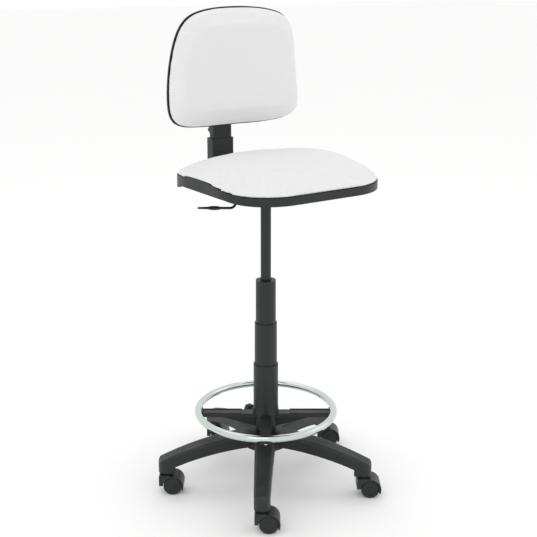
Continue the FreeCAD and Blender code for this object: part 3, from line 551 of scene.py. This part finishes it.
def ringedSolid(name, outline, rings, place):
    # a closed form from rings: each ring starts with its share of the outline, and place finds its points
    points = [place(0.0, 0.0, rings[0])]
    faces = []
    count = len(outline)
    for ring in rings[1:-1]:
        for x, y in outline:
            points.append(place(x * ring[0], y * ring[0], ring))
    points.append(place(0.0, 0.0, rings[-1]))
    last = len(points) - 1
    for i in range(count):
        j = (i + 1) % count
        faces.append((0, 1 + i, 1 + j))
        for r in range(len(rings) - 3):
            a = 1 + r * count
            b = a + count
            faces.append((a + i, b + i, b + j, a + j))
        a = 1 + (len(rings) - 3) * count
        faces.append((a + i, last, a + j))
    mesh = bpy.data.meshes.new(name)
    mesh.from_pydata(points, [], faces)
    fixNormals(mesh)
    return mesh


def coords(mesh):
    flat = np.zeros(len(mesh.vertices) * 3)
    mesh.vertices.foreach_get("co", flat)
    return flat.reshape(-1, 3)


def setCoords(mesh, points):
    mesh.vertices.foreach_set("co", np.ascontiguousarray(points, dtype=np.float64).ravel())
    mesh.update()


# cushions

def remesh(mesh, voxel):
    thing = bpy.data.objects.new("remeshing", mesh)
    bpy.context.scene.collection.objects.link(thing)
    modifier = thing.modifiers.new("voxels", "REMESH")
    modifier.mode = "VOXEL"
    modifier.voxel_size = voxel
    modifier.use_smooth_shade = True
    done = bpy.data.meshes.new_from_object(thing.evaluated_get(bpy.context.evaluated_depsgraph_get()))
    bpy.data.objects.remove(thing)
    return done


def swell(mesh, cap, hold, pressure):
    # the cover is blown up a little as its foam fills it; points where hold is 1 stay still
    thing = bpy.data.objects.new("swelling", mesh)
    bpy.context.scene.collection.objects.link(thing)
    start = coords(mesh)
    still = hold(start)
    pins = thing.vertex_groups.new(name="held")
    pins.add([int(i) for i in np.nonzero(still > 0.5)[0]], 1.0, "REPLACE")
    modifier = thing.modifiers.new("cover", "CLOTH")
    cloth = modifier.settings
    cloth.vertex_group_mass = "held"
    cloth.use_pressure = True
    cloth.uniform_pressure_force = pressure
    cloth.effector_weights.gravity = 0.0
    cloth.quality = 5
    cloth.mass = 0.3
    cloth.tension_stiffness = 18.0
    cloth.compression_stiffness = 18.0
    cloth.bending_stiffness = 0.6
    modifier.point_cache.frame_start = 1
    modifier.point_cache.frame_end = 20
    for step in range(1, 21):
        bpy.context.scene.frame_set(step)
    blown = thing.evaluated_get(bpy.context.evaluated_depsgraph_get()).data
    move = coords(blown) - start
    size = np.linalg.norm(move, axis=1, keepdims=True)
    move *= np.minimum(1.0, cap / np.maximum(size, 1e-9)) * (1 - still)[:, None]
    thing.modifiers.clear()
    setCoords(mesh, start + move)
    bpy.context.scene.frame_set(1)
    bpy.data.objects.remove(thing)
    print("swelled", mesh.name, "by up to", round(float(np.abs(move).max()) * 1000, 1), "mm")


def threadMap(mesh, flat):
    # a thread map in metres: the weave lies along the two directions that a face looks across
    layer = mesh.uv_layers.new(name="threads")
    points = coords(mesh)
    for face in mesh.polygons:
        steep = flat(face.normal)
        for loop in face.loop_indices:
            point = points[mesh.loops[loop].vertex_index]
            layer.data[loop].uv = (point[steep[0]], point[steep[1]])


def finishPad(mesh, levels):
    thing = bpy.data.objects.new("smoothing", mesh)
    bpy.context.scene.collection.objects.link(thing)
    if levels:
        rounder = thing.modifiers.new("rounder", "SUBSURF")
        rounder.levels = levels
        rounder.render_levels = levels
    done = bpy.data.meshes.new_from_object(thing.evaluated_get(bpy.context.evaluated_depsgraph_get()))
    bpy.data.objects.remove(thing)
    smoothFaces(done)
    return done


def mainAxes(normal):
    x, y, z = abs(normal.x), abs(normal.y), abs(normal.z)
    if z >= x and z >= y:
        return (0, 1)
    return (1, 2) if x > y else (0, 2)


def padRings(shares, underShare):
    # rings over the top from the middle to the edge, then back under it
    rings = [(0.0, "top", 0.0)]
    rings += [(share, "top", 0.0) for share in shares]
    rings += [(share, "under", 0.0) for share in (underShare, 0.93, 0.6, 0.3, 0.0)]
    return rings


padShares = (0.15, 0.3, 0.45, 0.6, 0.72, 0.8, 0.86, 0.9, 0.93, 0.955, 0.975, 0.99, 0.997, 1.0)
seatLow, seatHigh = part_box("seat_cushion")
panLow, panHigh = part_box("seat_pan")
seatEdge = [
    (0.0, 0.8713), (0.12, 0.8723), (0.22, 0.8758), (0.35, 0.8833), (0.48, 0.8888), (0.61, 0.8878),
    (0.75, 0.8823), (0.86, 0.8788), (0.94, 0.8773), (1.0, 0.8768),
]
seatPad = {
    "corner": 0.134, "rise": 0.027, "crown": 0.008, "dish": 0.004, "shoulder": 11.0, "bulge": 0.5,
    "inset": 0.002, "voxel": 0.005, "cap": 0.009, "pressure": 4.0, "count": 112,
}


def edgeHeight(y):
    return levelAt(seatEdge, min(1.0, max(0.0, (y - seatLow.y) / (seatHigh.y - seatLow.y))))


def makeSeatPad(pad):
    middle = Vector(((seatLow.x + seatHigh.x) / 2, (seatLow.y + seatHigh.y) / 2, 0))
    halfWidth = (seatHigh.x - seatLow.x) / 2 - pad["inset"]
    halfLength = (seatHigh.y - seatLow.y) / 2 - pad["inset"]
    outline = roundedOutline(halfWidth, halfLength, pad["corner"], pad["count"])
    heights = {}

    def heightOf(y):
        key = round(y, 4)
        if key not in heights:
            heights[key] = edgeHeight(key)
        return heights[key]

    def place(x, y, ring):
        share, side, level = ring
        base = heightOf(middle.y + y)
        if side == "under":
            return (middle.x + x, middle.y + y, base - level)
        hump = (1 - share ** pad["shoulder"]) ** pad["bulge"]
        crown = pad["crown"] * (1 - share * share) - pad["dish"] * math.exp(-(share / 0.45) ** 2)
        return (middle.x + x, middle.y + y, base + level + pad["rise"] * hump + crown)

    mesh = ringedSolid("seatPad", outline, padRings(padShares, 0.985), place)
    mesh = remesh(mesh, pad["voxel"])
    mesh.name = "seatPad"
    def hold(points):
        base = np.array([heightOf(y) for y in points[:, 1]])
        return (points[:, 2] < base + 0.004).astype(float)
    swell(mesh, pad["cap"], hold, pad["pressure"])
    mesh = finishPad(mesh, 1)
    threadMap(mesh, mainAxes)
    piece = addPiece("seatPad", mesh, "white_fabric", "upper", ["seat_cushion"])


backLow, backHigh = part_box("back_cushion")
backPad = {
    "bowl": 0.560, "bowlZ": 1.082, "thickness": 0.0357, "rimThickness": 0.009,
    "shoulder": 7.0, "bulge": 0.5, "inset": 0.001, "voxel": 0.005, "cap": 0.008, "pressure": 4.0,
    "count": 112,
}
# right half of the backrest from the front: shares of its half width and height
backProfile = [
    (0.0, 0.0), (0.405, 0.003), (0.658, 0.016), (0.835, 0.042), (0.942, 0.09), (0.987, 0.154),
    (1.0, 0.244), (0.996, 0.34), (0.982, 0.452), (0.958, 0.574), (0.927, 0.683), (0.884, 0.782),
    (0.822, 0.862), (0.728, 0.922), (0.585, 0.962), (0.34, 0.99), (0.0, 1.0),
]


def backOutline(inset, count):
    # points (x, z) about the middle of the backrest
    half = (backHigh.x - backLow.x) / 2 - inset
    tall = backHigh.z - backLow.z - 2 * inset
    right = [(half * u, tall * (v - 0.5), 0.0) for u, v in backProfile]
    left = [(-x, z, 0.0) for x, z, _ in reversed(right[1:-1])]
    return [(x, z) for x, z, _ in evenly(smoothPath(right + left, 8, True), count)]


def bowlY(pad, x, z, depth):
    # how far back a bowl that is larger by depth stands at (x, z)
    radius = pad["bowl"] + depth
    centre = backHigh.y - pad["thickness"] - pad["bowl"]
    return centre + math.sqrt(radius * radius - x * x - (z - pad["bowlZ"]) ** 2)


def makeBackPad(pad):
    middleZ = (backHigh.z + backLow.z) / 2
    outline = backOutline(pad["inset"], pad["count"])

    def place(x, z, ring):
        share, side, level = ring
        if side == "under":
            return (x, bowlY(pad, x, z + middleZ, pad["thickness"] - level), z + middleZ)
        hump = (1 - share ** pad["shoulder"]) ** pad["bulge"]
        thick = pad["rimThickness"] + (pad["thickness"] - pad["rimThickness"]) * hump
        return (x, bowlY(pad, x, z + middleZ, pad["thickness"] - thick), z + middleZ)

    mesh = ringedSolid("backPad", outline, padRings(padShares, 0.99), place)
    mesh = remesh(mesh, pad["voxel"])
    mesh.name = "backPad"
    def hold(points):
        rear = [bowlY(pad, x, z, pad["thickness"]) for x, z in zip(points[:, 0], points[:, 2])]
        return (points[:, 1] > np.array(rear) - 0.006).astype(float)
    swell(mesh, pad["cap"], hold, pad["pressure"])
    mesh = finishPad(mesh, 1)
    threadMap(mesh, mainAxes)
    piece = addPiece("backPad", mesh, "white_fabric", "backrest", ["back_cushion"])


makeSeatPad(seatPad)
print("seat pad made")
makeBackPad(backPad)
print("back pad made")

# casters: the wheels turn about the same axles as their joints

joints = {joint["name"]: joint for joint in frame["record"]["behaviour"]["joints"]}
wheel = {"radius": 0.025, "width": 0.018, "gap": 0.017, "bore": 0.0032, "count": 72}


def wheelProfile(w):
    near = w["gap"] / 2
    far = near + w["width"]
    r = w["radius"]
    return [
        (w["bore"], far - 0.006), (w["bore"], near), (0.0100, near), (0.0104, near + 0.0005),
        (0.0150, near + 0.0005), (0.0154, near), (r - 0.0018, near), (r - 0.0006, near + 0.0005),
        (r - 0.0001, near + 0.0018), (r, near + 0.0060), (r, far - 0.0065), (r - 0.0002, far - 0.0032),
        (r - 0.0009, far - 0.0014), (r - 0.0022, far - 0.0005), (r - 0.0034, far - 0.0003),
        (r - 0.0041, far - 0.0007), (r - 0.0044, far - 0.0016), (r - 0.0052, far - 0.0020),
        (0.0180, far - 0.0021), (0.0100, far - 0.0023), (0.0093, far - 0.0021), (0.0089, far - 0.0010),
        (0.0082, far - 0.0006), (0.0040, far - 0.0005), (0.0001, far - 0.0005),
    ]


def makeWheels(w):
    for name, joint in joints.items():
        if not name.endswith("_spin"):
            continue
        node = name[:-len("_spin")]
        low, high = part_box(node)
        middle = (low + high) / 2
        place = Vector(joint["pos_m"])
        axis = Vector(joint["axis"])
        if (middle - place).dot(axis) < 0:
            axis.negate()
        mesh = turnedSolid(node + "_tyre", wheelProfile(w), w["count"], axisFrame(place, axis))
        shadeByAngle(mesh, 40)
        addPiece(node + "_tyre", mesh, "wheel_nylon", node + "_body", [node])


makeWheels(wheel)
print("wheels made")

# foot ring: one bent tube with its ends butted and welded

ringTube = {
    "tube": 0.00975, "around": 200, "across": 36,
    "weldTurn": 160.0, "weldRise": 0.00025, "weldWidth": 0.0022,
}


def makeFootRing(look):
    low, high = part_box("foot_ring")
    middle = (low + high) / 2
    radius = (high.x - low.x) / 2 - look["tube"]
    loops = []
    for i in range(look["around"]):
        turn = 2 * math.pi * i / look["around"]
        off = (turn - math.radians(look["weldTurn"])) * radius
        weld = math.exp(-(off / look["weldWidth"]) ** 2)
        tube = look["tube"] - look["weldRise"] + look["weldRise"] * weld
        loop = []
        for k in range(look["across"]):
            bend = 2 * math.pi * k / look["across"]
            reach = radius + tube * math.cos(bend)
            loop.append((middle.x + reach * math.cos(turn), middle.y + reach * math.sin(turn),
                         middle.z + tube * math.sin(bend)))
        loops.append(loop)
    mesh = loopedSolid("footRingTube", loops, True)
    smoothFaces(mesh)
    addPiece("footRingTube", mesh, "chrome", "ring", ["foot_ring"])


makeFootRing(ringTube)
print("foot ring made")

# lift lever: a bent rod with a thinner tail, and a moulded grip pushed over it

lever = {
    "rod": 0.0034, "tail": 0.0027, "taperLength": 0.02, "endShare": 0.55, "across": 24,
    "grip": 0.0063, "gripEdge": 0.0040, "gripFlat": 0.86, "gripStart": -0.136, "gripEnd": -0.179,
    "path": [(0.004, 0.8465), (-0.010, 0.8465), (-0.026, 0.8465), (-0.046, 0.8446), (-0.062, 0.8425),
             (-0.074, 0.8340), (-0.084, 0.8215), (-0.091, 0.8085), (-0.098, 0.7990), (-0.107, 0.7958),
             (-0.120, 0.7971), (-0.150, 0.8010), (-0.180, 0.8049), (-0.207, 0.8084)],
}


def sweptRod(name, path, radii, across):
    # loops square to a path in the plane y = 0; radii gives (across, upright) at each point
    loops = []
    for i, point in enumerate(path):
        ahead = path[min(i + 1, len(path) - 1)]
        behind = path[max(i - 1, 0)]
        way = Vector((ahead[0] - behind[0], 0.0, ahead[1] - behind[1])).normalized()
        up = Vector((-way.z, 0.0, way.x))
        wide, tall = radii(point, i)
        loop = []
        for k in range(across):
            turn = 2 * math.pi * k / across
            offset = Vector((0.0, wide * math.cos(turn), 0.0)) + up * (tall * math.sin(turn))
            loop.append(Vector((point[0], 0.0, point[1])) + offset)
        loops.append(loop)
    mesh = loopedSolid(name, loops, False)
    shadeByAngle(mesh, 50)
    return mesh


def makeLever(look):
    path = [(p.x, p.y) for p in smoothPath([(x, z, 0.0) for x, z in look["path"]], 6, False)]
    last = len(path) - 1

    def rodRadius(point, i):
        end = look["endShare"] if i in (0, last) else 1.0
        past = min(1.0, max(0.0, (look["gripEnd"] - point[0]) / look["taperLength"]))
        size = look["rod"] + (look["tail"] - look["rod"]) * past
        return size * end, size * end

    addPiece("leverRod", sweptRod("leverRod", path, rodRadius, look["across"]), "black_steel", "lever",
             ["lift_lever"])
    grip = [p for p in path if look["gripEnd"] <= p[0] <= look["gripStart"]]
    start = grip[0][0]
    span = start - grip[-1][0]

    def gripRadius(point, i):
        along = (start - point[0]) / span
        swelling = math.sin(math.pi * min(1.0, max(0.0, along))) ** 0.45
        size = look["gripEdge"] + (look["grip"] - look["gripEdge"]) * swelling
        return size, size * look["gripFlat"]

    sleeve = sweptRod("leverGripSleeve", grip, gripRadius, look["across"])
    addPiece("leverGripSleeve", sleeve, "black_nylon", "lever", ["lever_grip"])


makeLever(lever)
print("lever made")

# clamp knobs: six lobes, a turned neck and a shallow dish in the cap

knobs = {
    "ring_knob": {"joint": "ring_knob_turn", "body": "ring_handknob", "radius": 0.014, "depth": 0.017,
                  "stem": 0.0302, "face": 0.058},
    "back_knob": {"joint": "back_knob_turn", "body": "back_handknob", "radius": 0.018, "depth": 0.022,
                  "stem": 0.2293, "face": 0.242},
}


def makeKnob(node, look):
    joint = joints[look["joint"]]
    axis = Vector(joint["axis"])
    place = Vector(joint["pos_m"])
    foot = place - axis * place.dot(axis)
    frameOf = axisFrame(foot, axis)
    r, deep, face = look["radius"], look["depth"], look["face"]
    # (radius, 1 where the lobes are cut, level along the axis), from the stud's end outwards
    steps = [
        (0.004, 0, look["stem"]), (0.004, 0, face - deep * 0.25), (r * 0.56, 0, face - deep * 0.25),
        (r * 0.6, 0, face - deep * 0.2), (r * 0.6, 0, face - 0.0002), (r * 0.9, 1, face),
        (r * 0.97, 1, face + deep * 0.05), (r, 1, face + deep * 0.15), (r, 1, face + deep * 0.76),
        (r * 0.975, 1, face + deep * 0.88), (r * 0.91, 1, face + deep * 0.96),
        (r * 0.82, 1, face + deep * 0.995), (r * 0.48, 0, face + deep), (r * 0.44, 0, face + deep * 0.97),
        (r * 0.40, 0, face + deep * 0.93), (0.0003, 0, face + deep * 0.92),
    ]
    loops = []
    for radius, lobed, level in steps:
        loop = []
        for i in range(96):
            turn = 2 * math.pi * i / 96
            lobe = 0.5 + 0.5 * math.cos(6 * turn)
            reach = radius * (1 - 0.15 * (1 - lobe ** 0.8)) if lobed else radius
            loop.append(frameOf @ Vector((reach * math.cos(turn), reach * math.sin(turn), level)))
        loops.append(loop)
    mesh = loopedSolid(node + "_lobed", loops, False)
    shadeByAngle(mesh, 42)
    addPiece(node + "_lobed", mesh, "black_nylon", look["body"], [node])


for node, look in knobs.items():
    makeKnob(node, look)
print("knobs made")

# screws: one node tree sets a screw on every point of a mesh; heads have a cross cut in them

def newTree(name, inputs):
    tree = bpy.data.node_groups.new(name, "GeometryNodeTree")
    tree.interface.new_socket(name="Places", in_out="INPUT", socket_type="NodeSocketGeometry")
    for label, kind, value in inputs:
        socket = tree.interface.new_socket(name=label, in_out="INPUT", socket_type=kind)
        if value is not None:
            socket.default_value = value
    tree.interface.new_socket(name="Parts", in_out="OUTPUT", socket_type="NodeSocketGeometry")
    return tree, tree.nodes.new("NodeGroupInput"), tree.nodes.new("NodeGroupOutput")


def cylinderNode(tree, radius, depth, sides):
    node = tree.nodes.new("GeometryNodeMeshCylinder")
    node.inputs["Vertices"].default_value = sides
    tree.links.new(radius, node.inputs["Radius"])
    tree.links.new(depth, node.inputs["Depth"])
    return node.outputs["Mesh"]


def liftNode(tree, geometry, level):
    offset = tree.nodes.new("ShaderNodeCombineXYZ")
    tree.links.new(level, offset.inputs["Z"])
    node = tree.nodes.new("GeometryNodeTransform")
    tree.links.new(geometry, node.inputs["Geometry"])
    tree.links.new(offset.outputs[0], node.inputs["Translation"])
    return node.outputs["Geometry"]


def cubeNode(tree, x, y, z):
    size = tree.nodes.new("ShaderNodeCombineXYZ")
    for label, value in (("X", x), ("Y", y), ("Z", z)):
        tree.links.new(value, size.inputs[label])
    cube = tree.nodes.new("GeometryNodeMeshCube")
    tree.links.new(size.outputs[0], cube.inputs["Size"])
    return cube.outputs["Mesh"]


def makeScrewTree():
    tree, inside, outside = newTree("crossHeadScrews", [
        ("Head Radius", "NodeSocketFloat", 0.006), ("Head Height", "NodeSocketFloat", 0.003),
        ("Shank Radius", "NodeSocketFloat", 0.003), ("Shank Length", "NodeSocketFloat", 0.02),
        ("Cut Width", "NodeSocketFloat", 0.0012), ("Turn", "NodeSocketRotation", None),
        ("Metal", "NodeSocketMaterial", None)])
    pins = inside.outputs
    half = mathNode(tree, "MULTIPLY", pins["Head Height"], 0.5)
    head = liftNode(tree, cylinderNode(tree, pins["Head Radius"], pins["Head Height"], 32), half)
    reach = mathNode(tree, "MULTIPLY", pins["Head Radius"], 1.1)
    boolean = tree.nodes.new("GeometryNodeMeshBoolean")
    boolean.operation = "DIFFERENCE"
    tree.links.new(head, boolean.inputs["Mesh 1"])
    for x, y in ((reach, pins["Cut Width"]), (pins["Cut Width"], reach)):
        tree.links.new(liftNode(tree, cubeNode(tree, x, y, pins["Head Height"]), pins["Head Height"]),
                       boolean.inputs["Mesh 2"])
    down = mathNode(tree, "MULTIPLY", pins["Shank Length"], -0.5)
    shank = liftNode(tree, cylinderNode(tree, pins["Shank Radius"], pins["Shank Length"], 24), down)
    screw = tree.nodes.new("GeometryNodeJoinGeometry")
    tree.links.new(boolean.outputs["Mesh"], screw.inputs[0])
    tree.links.new(shank, screw.inputs[0])
    spread = tree.nodes.new("GeometryNodeInstanceOnPoints")
    tree.links.new(pins["Places"], spread.inputs["Points"])
    tree.links.new(screw.outputs[0], spread.inputs["Instance"])
    tree.links.new(pins["Turn"], spread.inputs["Rotation"])
    real = tree.nodes.new("GeometryNodeRealizeInstances")
    tree.links.new(spread.outputs[0], real.inputs[0])
    paint = tree.nodes.new("GeometryNodeSetMaterial")
    tree.links.new(real.outputs[0], paint.inputs["Geometry"])
    tree.links.new(pins["Metal"], paint.inputs["Material"])
    tree.links.new(paint.outputs[0], outside.inputs["Parts"])
    return tree


def runTree(name, tree, points, values):
    host = bpy.data.meshes.new(name + "Places")
    host.from_pydata(points, [], [])
    thing = bpy.data.objects.new(name + "Host", host)
    bpy.context.scene.collection.objects.link(thing)
    modifier = thing.modifiers.new("parts", "NODES")
    modifier.node_group = tree
    for socket in tree.interface.items_tree:
        if socket.in_out == "INPUT" and socket.name in values:
            modifier[socket.identifier] = values[socket.name]
    thing.update_tag()
    mesh = bpy.data.meshes.new_from_object(thing.evaluated_get(bpy.context.evaluated_depsgraph_get()))
    mesh.name = name
    bpy.data.objects.remove(thing)
    bpy.data.meshes.remove(host)
    fixNormals(mesh, 1e-7)
    shadeByAngle(mesh, 35)
    return mesh


screwTree = makeScrewTree()
underTurn = (math.pi, 0.0, 0.0)
rearTurn = (-math.pi / 2, 0.0, 0.0)
upTurn = (0.0, 0.0, 0.0)
screws = {
    "back_screws": {"body": "backrest", "turn": rearTurn, "head": 0.006, "tall": 0.0029, "shank": 0.00295,
                    "cut": 0.0014},
    "seat_bolts": {"body": "upper", "turn": underTurn, "head": 0.0064, "tall": 0.0049, "shank": 0.00395,
                   "cut": 0.0016},
    "bar_bolts": {"body": "upper", "turn": upTurn, "head": 0.006, "tall": 0.0039, "shank": 0.00395,
                  "cut": 0.0016},
    "ring_screws": {"body": "ring", "turn": underTurn, "head": 0.005, "tall": 0.0024, "shank": 0.00245,
                    "cut": 0.0012},
}


def screwPlaces(node):
    # the two corners of the box round every separate screw in a CAD node
    work = bmesh.new()
    work.from_mesh(frame["nodes"][node].data)
    bmesh.ops.remove_doubles(work, verts=work.verts, dist=1e-6)
    seen = set()
    boxes = []
    for vert in work.verts:
        if vert.index in seen:
            continue
        heap = [vert]
        seen.add(vert.index)
        island = []
        while heap:
            here = heap.pop()
            island.append(here.co.copy())
            for edge in here.link_edges:
                other = edge.other_vert(here)
                if other.index not in seen:
                    seen.add(other.index)
                    heap.append(other)
        boxes.append((Vector([min(p[k] for p in island) for k in range(3)]),
                      Vector([max(p[k] for p in island) for k in range(3)])))
    work.free()
    return boxes


def makeScrews(node, look):
    axis = Euler(look["turn"]).to_matrix() @ Vector((0, 0, 1))
    points = []
    for low, high in screwPlaces(node):
        middle = (low + high) / 2
        half = abs((high - low).dot(axis)) / 2
        length = 2 * half - look["tall"] - 0.0001
        points.append(middle + axis * (half - look["tall"] - 0.00005))
    mesh = runTree(node + "_cut", screwTree, points, {
        "Head Radius": look["head"], "Head Height": look["tall"], "Shank Radius": look["shank"],
        "Shank Length": length, "Cut Width": look["cut"], "Turn": look["turn"],
        "Metal": materials["zinc_steel"]})
    addPiece(node + "_cut", mesh, "zinc_steel", look["body"], [node])


for node, look in screws.items():
    makeScrews(node, look)
print("screws made")

# finish


print("all pieces made")
